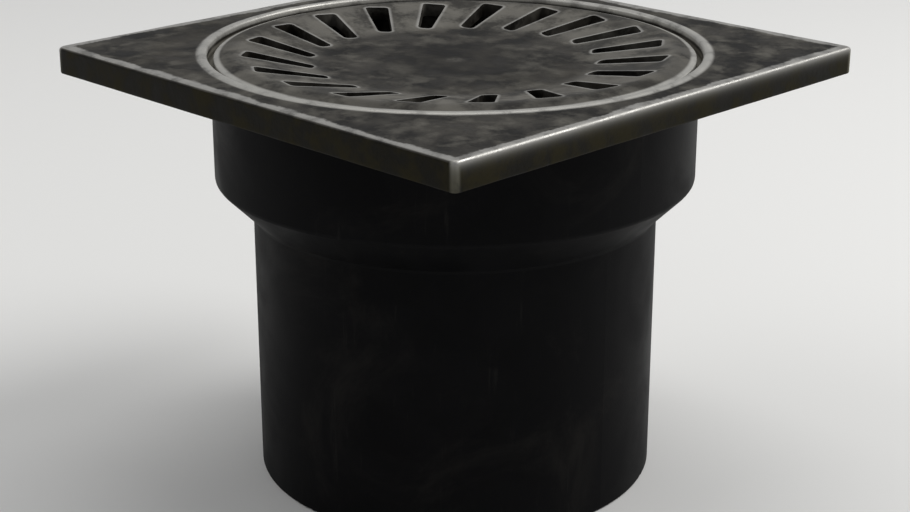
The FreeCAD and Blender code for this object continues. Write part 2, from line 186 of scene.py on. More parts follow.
def makeCastPlate(size):
    half = plateHigh.x
    underZ = topZ - size["thickness"]
    recess = grateHigh.x + size["grateGap"]
    beadOuter = recess + size["beadWidth"]
    landRadius = beadOuter + size["landWidth"]
    ledgeZ = topZ - size["ledgeDepth"]
    bore = size["boreRadius"]
    skirt = bore + size["skirtWall"]
    rebate = potHigh.x + size["rebateGap"]
    roofZ = potHigh.z
    soft = size["softEdge"]
    grooveZ = (sealLow.z + sealHigh.z) / 2
    grooveFloor = skirt - size["grooveDepth"]

    bpy.ops.mesh.primitive_circle_add(
        vertices=size["ringSegments"],
        radius=landRadius,
        enter_editmode=True,
    )
    bpy.context.object.name = "castPlate"
    bpy.ops.mesh.select_mode(type="EDGE")
    bpy.ops.transform.translate(value=(0, 0, topZ))

    chord = size["beadWidth"] / 2
    curve = (chord ** 2 + beadHeight ** 2) / 2 / beadHeight
    spread = math.degrees(math.asin(chord / curve))
    beadCentre = ((recess + beadOuter) / 2, plateHigh.z - curve)
    seatEdge = size["seatEdge"]
    edgeRadius = recess + seatEdge
    edgeZ = beadCentre[1] + math.sqrt((curve - seatEdge) ** 2 - (edgeRadius - beadCentre[0]) ** 2)
    edgeAngle = math.degrees(math.atan2(edgeZ - beadCentre[1], edgeRadius - beadCentre[0]))
    rings = arcRings(beadCentre, curve, 90 - spread, edgeAngle, size["beadRings"])
    rings += arcRings((edgeRadius, edgeZ), seatEdge, edgeAngle, 180, size["seatEdgeRings"])[1:]
    rings += [
        (recess, ledgeZ + soft),
        (recess - soft, ledgeZ),
        (bore + 2 * soft, ledgeZ),
        (bore, ledgeZ - 2 * soft),
        (bore, (ledgeZ + plateLow.z) / 2),
        (bore, plateLow.z + soft),
        (bore + soft, plateLow.z),
        (skirt - 2 * soft, plateLow.z),
        (skirt, plateLow.z + 2 * soft),
        (skirt, grooveZ - size["grooveHalf"]),
        (grooveFloor, grooveZ - size["grooveHalf"]),
        (grooveFloor, grooveZ + size["grooveHalf"]),
        (skirt, grooveZ + size["grooveHalf"]),
        (skirt, roofZ),
        (rebate, roofZ),
        (rebate, underZ + soft),
        (rebate + soft, underZ),
        (landRadius, underZ),
    ]
    turnRings((landRadius, topZ), rings)

    bpy.ops.mesh.primitive_plane_add(size=2 * half, location=(0, 0, topZ))
    bpy.ops.mesh.bevel(
        offset=size["cornerRadius"],
        segments=size["cornerSegments"],
        affect="VERTICES",
        clamp_overlap=False,
    )
    bpy.ops.mesh.delete(type="ONLY_FACE")
    cuts = size["ringSegments"] // 4 - size["cornerSegments"] - 1  # as many edges as the ring has
    pickEdges(lambda edge: edge.calc_length() > half)
    bpy.ops.mesh.subdivide(number_cuts=cuts)

    def onSquare(point):
        return max(abs(point.x), abs(point.y)) > half - size["cornerRadius"]

    def atHeight(edge, height):
        return all(abs(corner.co.z - height) < nearby for corner in edge.verts)

    def onOutline(edge, height):
        return atHeight(edge, height) and all(onSquare(corner.co) for corner in edge.verts)

    def onLand(edge, height):
        onRing = all(abs(reach(corner.co) - landRadius) < nearby for corner in edge.verts)
        return onRing and atHeight(edge, height)

    def bridgeAt(height, cuts):  # the flat face between the ring and the square
        pickEdges(lambda edge: onOutline(edge, height) or onLand(edge, height))
        bpy.ops.mesh.bridge_edge_loops(number_cuts=cuts, interpolation="LINEAR", smoothness=0)

    pickEdges(lambda edge: onOutline(edge, topZ))
    for row in range(size["sideRows"]):
        bpy.ops.mesh.extrude_region()
        bpy.ops.transform.translate(value=(0, 0, -size["thickness"] / size["sideRows"]))
    bridgeAt(topZ, size["topCuts"])
    bridgeAt(underZ, size["underCuts"])

    def alongRim(edge, height):  # only the edge where top or underside meets the side
        steep = [abs(face.normal.z) < wallLimit for face in edge.link_faces]
        return onOutline(edge, height) and any(steep) and not all(steep)

    pickEdges(lambda edge: alongRim(edge, topZ))
    bpy.ops.mesh.bevel(offset=size["topEdge"], segments=size["topEdgeSegments"], affect="EDGES")
    pickEdges(lambda edge: alongRim(edge, underZ))
    bpy.ops.mesh.bevel(offset=size["lowerEdge"], segments=size["lowerEdgeSegments"], affect="EDGES")
    closeMesh()
    piece = bpy.context.object
    unevenSkin(piece, "plateWaves", size["waveSize"], size["waveDepth"])
    smoothSkin(piece)
    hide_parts("frame_plate")
    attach(piece, "root")
    bpy.ops.object.select_all(action="DESELECT")
    print("cast plate made:", len(piece.data.polygons), "faces")
    return piece


# slotted grate: falling rim, dished middle and a ring of leaning slots
slottedGrate = {
    "slotCount": 20,
    "columnsPerSlot": 6,
    "slotRows": 4,
    "slotStart": 0.0381,
    "slotEnd": 0.056,
    "innerWidth": 0.0039,
    "outerWidth": 0.0068,
    "lean": 17.2,
    "slotCorner": 0.0012,
    "slotCornerSegments": 4,
    "slotEdge": 0.00045,
    "slotEdgeSegments": 3,
    "slotLowerEdge": 0.0003,
    "slotLowerSegments": 1,
    "lipStart": 0.9,  # lips are looked for between these shares of the slots' ends
    "lipEnd": 1.05,
    "cutShare": 0.45,  # faces this share of a slot's width from its middle line are cut out
    "middleRadius": 0.037,
    "dishRadius": 0.059,
    "dishDepth": 0.0037,
    "underRadius": 0.0573,
    "rimThickness": 0.004,
    "dishThickness": 0.003,
    "blendRadius": 0.008,
    "crestRings": 6,
    "rimFall": 0.0013,
    "rimEdge": 0.0005,
    "rimEdgeRings": 4,
    "rimLowerEdge": 0.0004,
    "hubRadius": 0.006,
    "hubRings": 5,
    "waveSize": 0.011,
    "waveDepth": 0.00018,
}


def slotLine(size):  # how far a slot's middle line leans, where its middle lies and how long it is
    lean = math.radians(size["lean"])
    slotMiddle = (size["slotStart"] + size["slotEnd"]) / 2
    slotLength = (size["slotEnd"] - size["slotStart"]) / math.cos(lean)
    return lean, slotMiddle, slotLength


def makeSlottedGrate(size):
    rim = grateHigh.x
    middle = size["middleRadius"]
    dish = size["dishRadius"]
    under = size["underRadius"]
    floorZ = topZ - size["dishDepth"]
    columns = size["slotCount"] * size["columnsPerSlot"]
    rows = size["slotRows"]

    def topAt(radius):
        share = min(max((radius - middle) / (dish - middle), 0), 1)
        return floorZ + share * size["dishDepth"]

    def underAt(radius):
        share = min(max((radius - middle) / (under - middle), 0), 1)
        low = floorZ - size["dishThickness"]
        return low + share * (topZ - size["rimThickness"] - low)

    tilt = math.atan(size["dishDepth"] / (dish - middle))
    blend = size["blendRadius"]
    blendReach = blend * math.tan(tilt / 2)
    blendLift = blend * (1 / math.cos(tilt / 2) - 1)
    fall = math.atan(size["rimFall"] / (rim - dish))
    crestReach = blend * math.tan((tilt + fall) / 2)
    crestRadius = dish - crestReach * math.cos(tilt) + blend * math.sin(tilt)
    crestZ = topZ - crestReach * math.sin(tilt) - blend * math.cos(tilt)
    slotReach = size["slotEnd"] - size["slotStart"]
    slotRadii = [size["slotStart"] + slotReach * row / rows for row in range(rows + 1)]
    hub = size["hubRadius"]
    hubRings = size["hubRings"]
    innerRadii = [hub + (middle - blendReach - hub) * (step + 1) / hubRings for step in range(hubRings)]
    edge = size["rimEdge"]
    lower = size["rimLowerEdge"]
    edgeRadius = rim - edge
    edgeZ = topZ - (edge + (edgeRadius - dish) * math.sin(fall)) / math.cos(fall)
    rings = [(radius, floorZ) for radius in innerRadii]
    rings += [(middle, floorZ + blendLift)]
    rings += [(radius, topAt(radius)) for radius in slotRadii]
    crestStart = 90 + math.degrees(tilt)
    crestEnd = 90 - math.degrees(fall)
    rings += arcRings((crestRadius, crestZ), blend, crestStart, crestEnd, size["crestRings"])
    rings += arcRings((edgeRadius, edgeZ), edge, crestEnd, 0, size["rimEdgeRings"])
    rings += [(rim, underAt(rim) + lower), (rim - lower, underAt(rim))]
    rings += [((rim + under) / 2, underAt(rim)), (under, underAt(under))]
    rings += [(radius, underAt(radius)) for radius in reversed(slotRadii)]
    rings += [(middle, underAt(middle))]
    rings += [(radius, underAt(radius)) for radius in reversed(innerRadii[:-1])]
    rings += [(hub, underAt(hub))]

    bpy.ops.mesh.primitive_circle_add(
        vertices=columns,
        radius=hub,
        fill_type="TRIFAN",
        enter_editmode=True,
    )
    bpy.context.object.name = "slottedGrate"
    bpy.ops.transform.translate(value=(0, 0, floorZ))
    pickEdges(lambda edge: len(edge.link_faces) == 1)
    turnRings((hub, floorZ), rings)
    bpy.ops.mesh.extrude_region()
    bpy.ops.mesh.merge(type="COLLAPSE")

    lean, slotMiddle, slotLength = slotLine(size)
    sectorAngle = 2 * math.pi / size["slotCount"]

    def slotWidth(along):
        return size["innerWidth"] + (size["outerWidth"] - size["innerWidth"]) * along / slotLength

    def slotPoint(sector, row, side):  # a point of a slot's outline or of its middle line
        along = slotLength * row / rows
        across = side * slotWidth(along) / 2
        x = slotMiddle + (along - slotLength / 2) * math.cos(lean) + across * math.sin(lean)
        y = -(along - slotLength / 2) * math.sin(lean) + across * math.cos(lean)
        turn = sector * sectorAngle
        return Vector((x * math.cos(turn) - y * math.sin(turn), x * math.sin(turn) + y * math.cos(turn)))

    def slotPlace(point, sector):  # how far along and across a slot a point lies
        turn = -sector * sectorAngle
        x = point.x * math.cos(turn) - point.y * math.sin(turn) - slotMiddle
        y = point.x * math.sin(turn) + point.y * math.cos(turn)
        along = x * math.cos(lean) - y * math.sin(lean) + slotLength / 2
        return along, x * math.sin(lean) + y * math.cos(lean)

    def gridPoint(row, column):  # the slots' outlines, and lands spread evenly between them
        sector = round(column / size["columnsPerSlot"])
        offset = column - sector * size["columnsPerSlot"]
        side = 1 if offset > 0 else -1
        if abs(offset) <= 1:
            return slotPoint(sector, row, offset)
        share = (abs(offset) - 1) / (size["columnsPerSlot"] - 2)
        return slotPoint(sector, row, side).lerp(slotPoint(sector + side, row, -side), share)

    mesh = editMesh()
    for corner in mesh.verts:
        radius = reach(corner.co)
        for row, slotRadius in enumerate(slotRadii):
            if abs(radius - slotRadius) < nearby:
                column = round(math.atan2(corner.co.y, corner.co.x) / 2 / math.pi * columns)
                isTop = abs(corner.co.z - topAt(radius)) < nearby
                spot = gridPoint(row, column)
                height = topAt(spot.length) if isTop else underAt(spot.length)
                corner.co = (spot.x, spot.y, height)
                break
    bmesh.update_edit_mesh(bpy.context.object.data)

    def inSlot(face, sector):
        along, across = slotPlace(face.calc_center_median(), sector)
        inside = 0 < along < slotLength and abs(across) < slotWidth(along) * size["cutShare"]
        return inside and abs(face.normal.z) > wallLimit

    for sector in range(size["slotCount"]):
        pickFaces(lambda face: inSlot(face, sector))
        bpy.ops.mesh.bridge_edge_loops()

    outlines = [
        slotPoint(sector, row, side)
        for sector in range(size["slotCount"])
        for row in (0, rows)
        for side in (-1, 1)
    ]

    def atCorner(edge):
        ends = [Vector((corner.co.x, corner.co.y)) for corner in edge.verts]
        return any(all((end - outline).length < nearby for end in ends) for outline in outlines)

    corners = pickEdges(atCorner)
    bpy.ops.mesh.bevel(offset=size["slotCorner"], segments=size["slotCornerSegments"], affect="EDGES")
    lipStart = size["slotStart"] * size["lipStart"]
    lipEnd = size["slotEnd"] * size["lipEnd"]

    def onSlotLip(edge, upward):  # upward is 1 for the top's lips and -1 for the underside's
        if len(edge.link_faces) != 2:
            return False
        if not lipStart < reach(edge.verts[0].co) < lipEnd:
            return False
        tops = [face.normal.z * upward > flatLimit for face in edge.link_faces]
        walls = [abs(face.normal.z) < wallLimit for face in edge.link_faces]
        return any(tops) and any(walls)

    def softenLips(offset, segments):
        bpy.ops.mesh.bevel(offset=offset, segments=segments, affect="EDGES", clamp_overlap=True)

    bpy.ops.mesh.select_all(action="SELECT")
    bpy.ops.mesh.normals_make_consistent(inside=False)
    lips = pickEdges(lambda edge: onSlotLip(edge, 1))
    softenLips(size["slotEdge"], size["slotEdgeSegments"])
    pickEdges(lambda edge: onSlotLip(edge, -1))
    softenLips(size["slotLowerEdge"], size["slotLowerSegments"])
    bpy.ops.mesh.select_all(action="SELECT")
    bpy.ops.mesh.quads_convert_to_tris(ngon_method="CLIP")  # fewer folds at the slots' corners
    closeMesh()
    piece = bpy.context.object
    unevenSkin(piece, "grateWaves", size["waveSize"], size["waveDepth"])
    smoothSkin(piece)
    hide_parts("grate")
    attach(piece, "root")
    bpy.ops.object.select_all(action="DESELECT")
    print("slotted grate made:", len(piece.data.polygons), "faces")
    print("slots have", corners, "corners and", lips, "lip edges")
    return piece


plate = makeCastPlate(castPlate)
grate = makeSlottedGrate(slottedGrate)


# materials

noiseMiddle = 0.5  # what a noise pattern gives on average


def shade(red, green, blue):  # a colour as it shows on a screen, 0 to 255
    linear = []
    for value in (red, green, blue):
        part = value / 255
        linear.append(part / 12.92 if part <= 0.04045 else ((part + 0.055) / 1.055) ** 2.4)
    return (*linear, 1)


def newFinish(name):
    finish = bpy.data.materials.new(name)
    finish.use_nodes = True
    tree = finish.node_tree
    return finish, tree, tree.nodes["Principled BSDF"]


def addNode(tree, kind, **settings):
    node = tree.nodes.new(kind)
    for key, value in settings.items():
        setattr(node, key, value)
    return node


def join(tree, source, target):
    if isinstance(source, (int, float, tuple)):
        target.default_value = source
    else:
        tree.links.new(source, target)


def speckle(tree, place, scale, detail, roughness, distortion=0):
    node = addNode(tree, "ShaderNodeTexNoise")
    join(tree, place, node.inputs["Vector"])
    node.inputs["Scale"].default_value = scale
    node.inputs["Detail"].default_value = detail
    node.inputs["Roughness"].default_value = roughness
    node.inputs["Distortion"].default_value = distortion
    return node.outputs["Fac"]


def fade(tree, value, low, high, start=0.0, end=1.0):  # maps low to high onto start to end, smoothly
    node = addNode(tree, "ShaderNodeMapRange", interpolation_type="SMOOTHSTEP")
    join(tree, value, node.inputs["Value"])
    for key, number in (("From Min", low), ("From Max", high), ("To Min", start), ("To Max", end)):
        node.inputs[key].default_value = number
    return node.outputs["Result"]


def work(tree, operation, first, second=0.0):  # one step of arithmetic
    node = addNode(tree, "ShaderNodeMath", operation=operation)
    join(tree, first, node.inputs[0])
    join(tree, second, node.inputs[1])
    return node.outputs[0]


def times(tree, first, *others):
    for other in others:
        first = work(tree, "MULTIPLY", first, other)
    return first


def lengthOf(tree, first, second):
    squares = work(tree, "ADD", times(tree, first, first), times(tree, second, second))
    return work(tree, "SQRT", squares)


def mixColours(tree, share, first, second):
    node = addNode(tree, "ShaderNodeMix", data_type="RGBA", blend_type="MIX")
    join(tree, share, node.inputs["Factor"])
    join(tree, first, node.inputs[6])  # the two colour inputs and the colour output
    join(tree, second, node.inputs[7])
    return node.outputs[2]


def addBump(tree, shader, height, look):
    node = addNode(tree, "ShaderNodeBump")
    join(tree, height, node.inputs["Height"])
    node.inputs["Strength"].default_value = look["bumpStrength"]
    node.inputs["Distance"].default_value = look["bumpDistance"]
    tree.links.new(node.outputs["Normal"], shader.inputs["Normal"])


wornIron = {
    "dark": shade(20, 18, 15),
    "middle": shade(58, 55, 50),
    "light": shade(105, 102, 95),
    "stain": shade(43, 39, 31),
    "ringTone": shade(117, 114, 107),
    # the sides' olive tones, partly patina and partly painted shade
    "sideDark": shade(10, 8, 1),
    "sideLight": shade(33, 29, 9),
    # rubbed corners, partly a painted highlight
    "cornerTone": shade(122, 120, 106),
    "bright": shade(162, 160, 155),
    "beadTone": shade(176, 174, 168),
    # dry dust in the gap, partly painted light
    "dustAndLightTone": shade(140, 136, 126),
    # painted shade deep in the gap round the grate
    "gapShadeTone": shade(12, 11, 9),
    # patterns
    "grain": {"scale": 900, "detail": 5, "roughness": 0.65},
    "blotches": {"scale": 78, "detail": 5, "roughness": 0.52, "distortion": 0.3},
    "clouds": {"scale": 135, "detail": 5, "roughness": 0.52, "distortion": 0.2},
    "patches": {"scale": 24, "detail": 5, "roughness": 0.55, "distortion": 0.5},
    "raggedness": 0.3,
    # spans of a pattern or of a facing, and the shares that they are mapped onto
    "middleSpan": (0.39, 0.6),
    "lightSpan": (0.42, 0.72, 0, 0.72),
    "stainSpan": (0.48, 0.66, 0, 0.5),
    "grainSpan": (0.35, 0.65, 0, 0.35),
    "topSpan": (0.2, 0.6),
    "ringSpan": (0.38, 0.6, 0.16, 0.62),
    "hubSpan": (0.34, 0.6, 0, 0.6),
    "sideSpan": (0.38, 0.66),
    "uprightSpan": (0.55, 0.2),
    "chipSpan": (0.34, 0.52, 0.45, 1),
    "wornSpan": (0.55, 0.9),
    "litSideSpan": (0.2, 0.6),
    "gapWallSpan": (0.5, 0.2),
    "roughSpan": (0.3, 0.7, 0.46, 0.66),
    # grate
    "ringStart": 0.034,
    "ringFull": 0.041,
    "ringFade": 0.0565,
    "ringEnd": 0.0605,
    "ringEndShare": 0.5,
    "middleStart": 0.03,
    "middleFull": 0.008,
    "middleShare": 0.68,
    "hubSpot": 0.004,
    "slotWear": 0.0011,
    "slotWearFull": 0.00011,
    "slotShare": 0.8,
    # the band on the grate rim's outer edge: wear and partly a painted highlight
    "rimBandInset": 0.0014,
    "rimSoft": 0.00065,
    "rimBandDepth": 0.0009,
    "rimPastFull": 0.0002,
    "rimPastEnd": 0.0006,
    # bead and the gap round the grate
    "beadFade": 0.0012,
    "beadDrift": 0.0006,
    "beadInnerStart": 0.0003,
    "beadInnerFull": 0.0001,
    "seatWallFull": 0.00055,
    "seatWallEnd": 0.00154,
    # painted shade: the gap's walls darken between these depths
    "gapStart": 0.0015,
    "gapFull": 0.0034,
    "gapSoft": 0.0003,
    "gapShadeShare": 0.2,
    "dustAndLightStart": 0.0004,
    "dustAndLightFull": 0.0014,
    "dustAndLightShare": 0.8,
    # plate's outline
    "sideStart": 0.0008,
    "sideFull": 0.0004,
    "edgeReach": 0.0029,
    "edgeDriftX": -0.0053,
    "edgeDriftY": 0.0087,
    "edgeWander": 0.005,
    "edgeSoft": 0.0006,
    # painted highlight down the side facing +x and the tops of the corners
    "sideHighlightStart": 0.0006,
    "sideHighlightDepth": 0.0007,
    "sideHighlightReach": 0.0014,
    "sideHighlightFull": 0.001,
    "cornerTipHighlightDepth": 0.0012,
    "cornerReach": 0.0021,
    "cornerFull": 0.0006,
    "cornerShare": 0.45,
    # surface
    "wornSmoothing": 0.12,
    "dullMetallic": 0.26,
    "wornMetallic": 0.65,
    "specular": 0.12,
    "cloudHeight": 0.7,
    "grainHeight": 0.3,
    "bumpStrength": 0.35,
    "bumpDistance": 0.0004,
}


def ironPlaces(tree):  # where a point of the plate or the grate lies, and which way it faces
    place = addNode(tree, "ShaderNodeTexCoord")
    axes = addNode(tree, "ShaderNodeSeparateXYZ")
    tree.links.new(place.outputs["Object"], axes.inputs[0])
    facing = addNode(tree, "ShaderNodeSeparateXYZ")
    tree.links.new(place.outputs["Normal"], facing.inputs[0])
    x, y, z = axes.outputs
    across = work(tree, "ABSOLUTE", x)
    along = work(tree, "ABSOLUTE", y)
    return {
        "here": place.outputs["Object"],
        "x": x,
        "y": y,
        "z": z,
        "right": facing.outputs["X"],
        "up": facing.outputs["Z"],
        "outer": work(tree, "MAXIMUM", across, along),
        "lesser": work(tree, "MINIMUM", across, along),
        "radius": lengthOf(tree, x, y),
    }


def ironPatterns(tree, look, here):
    grain = speckle(tree, here, **look["grain"])
    ragged = work(tree, "SUBTRACT", grain, noiseMiddle)
    ragged = times(tree, ragged, look["raggedness"])  # gives the other patterns grainy borders
    return {
        "grain": grain,
        "blotches": work(tree, "ADD", speckle(tree, here, **look["blotches"]), ragged),
        "clouds": work(tree, "ADD", speckle(tree, here, **look["clouds"]), ragged),
        "patches": speckle(tree, here, **look["patches"]),
    }


def slotDistance(tree, at, size):  # how far a point lies outside the nearest slot's outline
    lean, slotMiddle, slotLength = slotLine(size)
    sector = 2 * math.pi / size["slotCount"]
    turn = work(tree, "DIVIDE", work(tree, "ARCTAN2", at["y"], at["x"]), sector)
    offset = times(tree, work(tree, "SUBTRACT", turn, work(tree, "ROUND", turn)), sector)
    ahead = work(tree, "SUBTRACT", times(tree, at["radius"], work(tree, "COSINE", offset)), slotMiddle)
    beside = times(tree, at["radius"], work(tree, "SINE", offset))
    alongAhead = times(tree, ahead, math.cos(lean))
    alongBeside = times(tree, beside, math.sin(lean))
    slotAlong = work(tree, "SUBTRACT", alongAhead, alongBeside)
    acrossAhead = times(tree, ahead, math.sin(lean))
    acrossBeside = times(tree, beside, math.cos(lean))
    slotAcross = work(tree, "ADD", acrossAhead, acrossBeside)
    flare = (size["outerWidth"] - size["innerWidth"]) / slotLength / 2
    meanHalf = (size["innerWidth"] + size["outerWidth"]) / 4
    halfWidth = work(tree, "ADD", times(tree, slotAlong, flare), meanHalf)
    overSide = work(tree, "SUBTRACT", work(tree, "ABSOLUTE", slotAcross), halfWidth)
    overEnd = work(tree, "SUBTRACT", work(tree, "ABSOLUTE", slotAlong), slotLength / 2)
    turned = size["slotCorner"]
    overSide = work(tree, "MAXIMUM", work(tree, "ADD", overSide, turned), 0.0)
    overEnd = work(tree, "MAXIMUM", work(tree, "ADD", overEnd, turned), 0.0)
    return work(tree, "SUBTRACT", lengthOf(tree, overSide, overEnd), turned)


def makeWornIron(look):
    finish, tree, shader = newFinish("wornIron")
    at = ironPlaces(tree)
    patterns = ironPatterns(tree, look, at["here"])
    grain = patterns["grain"]
    blotches = patterns["blotches"]
    clouds = patterns["clouds"]
    radius = at["radius"]
    half = plateHigh.x
    rimRadius = grateHigh.x
    recess = rimRadius + castPlate["grateGap"]
    beadOuter = recess + castPlate["beadWidth"]
    rimZ = topZ - slottedGrate["rimFall"]
    rimBandRadius = rimRadius - look["rimBandInset"]
    rimBandZ = rimZ - look["rimBandDepth"]

    tone = mixColours(tree, fade(tree, blotches, *look["middleSpan"]), look["dark"], look["middle"])
    tone = mixColours(tree, fade(tree, clouds, *look["lightSpan"]), tone, look["light"])
    tone = mixColours(tree, fade(tree, patterns["patches"], *look["stainSpan"]), tone, look["stain"])
    tone = mixColours(tree, fade(tree, grain, *look["grainSpan"]), tone, look["dark"])

    # the grate is trodden lighter round its slots and stays darker in the middle
    onTop = fade(tree, at["up"], *look["topSpan"])
    ring = times(
        tree,
        fade(tree, radius, look["ringStart"], look["ringFull"]),
        fade(tree, radius, recess, rimRadius),
        fade(tree, radius, look["ringEnd"], look["ringFade"], look["ringEndShare"], 1),
        fade(tree, blotches, *look["ringSpan"]),
        onTop,
    )
    tone = mixColours(tree, ring, tone, look["ringTone"])
    middle = fade(tree, radius, look["middleStart"], look["middleFull"], 0, look["middleShare"])
    tone = mixColours(tree, times(tree, middle, onTop), tone, look["dark"])
    hub = times(tree, fade(tree, radius, look["hubSpot"], 0), fade(tree, grain, *look["hubSpan"]), onTop)
    tone = mixColours(tree, hub, tone, look["light"])

    # the plate's sides are darker and olive, partly patina and partly painted shade; its corners are
    # rubbed and partly painted as a highlight, more towards +y
    sideClouds = fade(tree, clouds, *look["sideSpan"])
    sideShadeAndPatina = mixColours(tree, sideClouds, look["sideDark"], look["sideLight"])
    upright = times(
        tree,
        fade(tree, at["outer"], half - look["sideStart"], half - look["sideFull"]),
        fade(tree, at["up"], *look["uprightSpan"]),
    )
    tone = mixColours(tree, upright, tone, sideShadeAndPatina)
    chips = fade(tree, clouds, *look["chipSpan"])
    corner = fade(tree, at["lesser"], half - look["cornerReach"], half - look["cornerFull"])
    cornerRubAndHighlight = times(tree, corner, chips, fade(tree, at["y"], -half, half, look["cornerShare"], 1))
    tone = mixColours(tree, cornerRubAndHighlight, tone, look["cornerTone"])

    # the plate's outline, the bead and the slots are rubbed bright; the band on the grate rim's outer
    # edge is rubbed wear and partly a painted highlight
    wander = times(tree, work(tree, "SUBTRACT", blotches, noiseMiddle), look["edgeWander"])
    wander = work(tree, "ADD", wander, times(tree, at["x"], look["edgeDriftX"]))
    wander = work(tree, "ADD", wander, times(tree, at["y"], look["edgeDriftY"]))
    fromEdge = work(tree, "SUBTRACT", half - look["edgeReach"], at["outer"])
    fromEdge = work(tree, "SUBTRACT", fromEdge, wander)
    edge = fade(tree, fromEdge, look["edgeSoft"], -look["edgeSoft"])
    diagonal = work(tree, "DIVIDE", work(tree, "SUBTRACT", at["x"], at["y"]), math.sqrt(2))
    beadDrift = times(tree, work(tree, "DIVIDE", diagonal, radius), look["beadDrift"])
    beadReach = work(tree, "SUBTRACT", radius, beadDrift)  # rubbed wider towards one corner
    bead = times(
        tree,
        fade(tree, radius, recess - look["beadInnerStart"], recess - look["beadInnerFull"]),
        fade(tree, beadReach, beadOuter + look["beadFade"] / 2, beadOuter - look["beadFade"]),
        fade(tree, at["z"], topZ - look["seatWallEnd"], topZ - look["seatWallFull"]),
    )
    # rubbed wear and partly a painted highlight on the grate rim's outer edge, down into the gap
    rim = times(
        tree,
        fade(tree, radius, rimBandRadius - look["rimSoft"], rimBandRadius + look["rimSoft"]),
        fade(tree, radius, rimRadius + look["rimPastEnd"], rimRadius + look["rimPastFull"]),
        fade(tree, at["z"], rimBandZ - look["rimSoft"], rimBandZ + look["rimSoft"]),
    )
    fromSlot = slotDistance(tree, at, slottedGrate)
    slot = fade(tree, fromSlot, look["slotWear"], look["slotWearFull"], 0, look["slotShare"])
    ringWearAndHighlight = work(tree, "MAXIMUM", rim, bead)
    rubbedAndHighlight = times(tree, work(tree, "MAXIMUM", edge, slot), fade(tree, at["up"], *look["wornSpan"]))
    rubbedAndHighlight = times(tree, work(tree, "MAXIMUM", rubbedAndHighlight, ringWearAndHighlight), chips)

    # painted highlight: the side facing +x and the tops of the corners are painted bright a little way
    # down
    below = work(tree, "SUBTRACT", at["z"], topZ - look["sideHighlightStart"])

    def highlightDown(depth):
        return work(tree, "MINIMUM", work(tree, "EXPONENT", work(tree, "DIVIDE", below, depth)), 1.0)

    sideHighlight = times(
        tree,
        highlightDown(look["sideHighlightDepth"]),
        fade(tree, at["right"], *look["litSideSpan"]),
        fade(tree, at["outer"], half - look["sideHighlightReach"], half - look["sideHighlightFull"]),
    )
    # painted highlight at the top of each upright corner, where the bright edges meet
    cornerTipHighlight = times(tree, highlightDown(look["cornerTipHighlightDepth"]), corner)
    # rubbed wear together with the painted highlights, all mixed towards the bright tone
    wornAndHighlight = work(tree, "MAXIMUM", rubbedAndHighlight, work(tree, "MAXIMUM", sideHighlight, cornerTipHighlight))
    tone = mixColours(tree, wornAndHighlight, tone, look["bright"])
    tone = mixColours(tree, times(tree, ringWearAndHighlight, chips), tone, look["beadTone"])

    # painted shade on the walls of the gap round the grate, darker deeper down, and a lighter tone in
    # the gap that is partly dry dust and partly painted light
    gapShade = times(
        tree,
        fade(tree, at["z"], topZ - look["gapStart"], topZ - look["gapFull"]),
        fade(tree, radius, recess + look["gapSoft"], recess - look["gapSoft"]),
        fade(tree, at["up"], *look["gapWallSpan"]),
        look["gapShadeShare"],
    )
    tone = mixColours(tree, gapShade, tone, look["gapShadeTone"])
    # dry dust and partly painted light: the walls and ledge in the gap are made lighter
    dust = times(
        tree,
        fade(tree, radius, rimBandRadius, rimRadius),
        fade(tree, radius, recess + look["gapSoft"], recess),
        fade(tree, at["z"], rimZ - look["dustAndLightStart"], rimZ - look["dustAndLightFull"], 0, look["dustAndLightShare"]),
    )
    tone = mixColours(tree, dust, tone, look["dustAndLightTone"])
    tree.links.new(tone, shader.inputs["Base Color"])

    rough = fade(tree, clouds, *look["roughSpan"])
    rough = work(tree, "SUBTRACT", rough, times(tree, wornAndHighlight, look["wornSmoothing"]))
    tree.links.new(rough, shader.inputs["Roughness"])
    shine = look["wornMetallic"] - look["dullMetallic"]
    metal = work(tree, "ADD", times(tree, wornAndHighlight, shine), look["dullMetallic"])
    tree.links.new(metal, shader.inputs["Metallic"])
    shader.inputs["Specular IOR Level"].default_value = look["specular"]
    cloudHeight = times(tree, clouds, look["cloudHeight"])
    height = work(tree, "ADD", cloudHeight, times(tree, grain, look["grainHeight"]))
    addBump(tree, shader, height, look)
    return finish


blackPlastic = {
    "dark": shade(7, 7, 8),
    "light": shade(13, 13, 14),
    "scuff": shade(38, 37, 35),
    "dust": shade(50, 48, 44),
    "clouds": {"scale": 46, "detail": 7, "roughness": 0.6, "distortion": 0.5},
    "grain": {"scale": 2100, "detail": 2, "roughness": 0.5},
    "marks": {"scale": 420, "detail": 6, "roughness": 0.68, "distortion": 0.3},
    "markStretch": (1, 1, 0.07),
    "film": {"scale": 24, "detail": 8, "roughness": 0.7, "distortion": 0.8},
    "lightSpan": (0.35, 0.68),
    "dustSpan": (0.5, 0.72, 0, 0.22),
    "markSpan": (0.58, 0.72),
    "scuffSpan": (0.44, 0.62, 0, 0.5),
    "roughSpan": (0.3, 0.7, 0.46, 0.6),
    "scuffRoughness": 0.2,
    "specular": 0.05,
    "bumpStrength": 0.12,
    "bumpDistance": 0.0002,
}


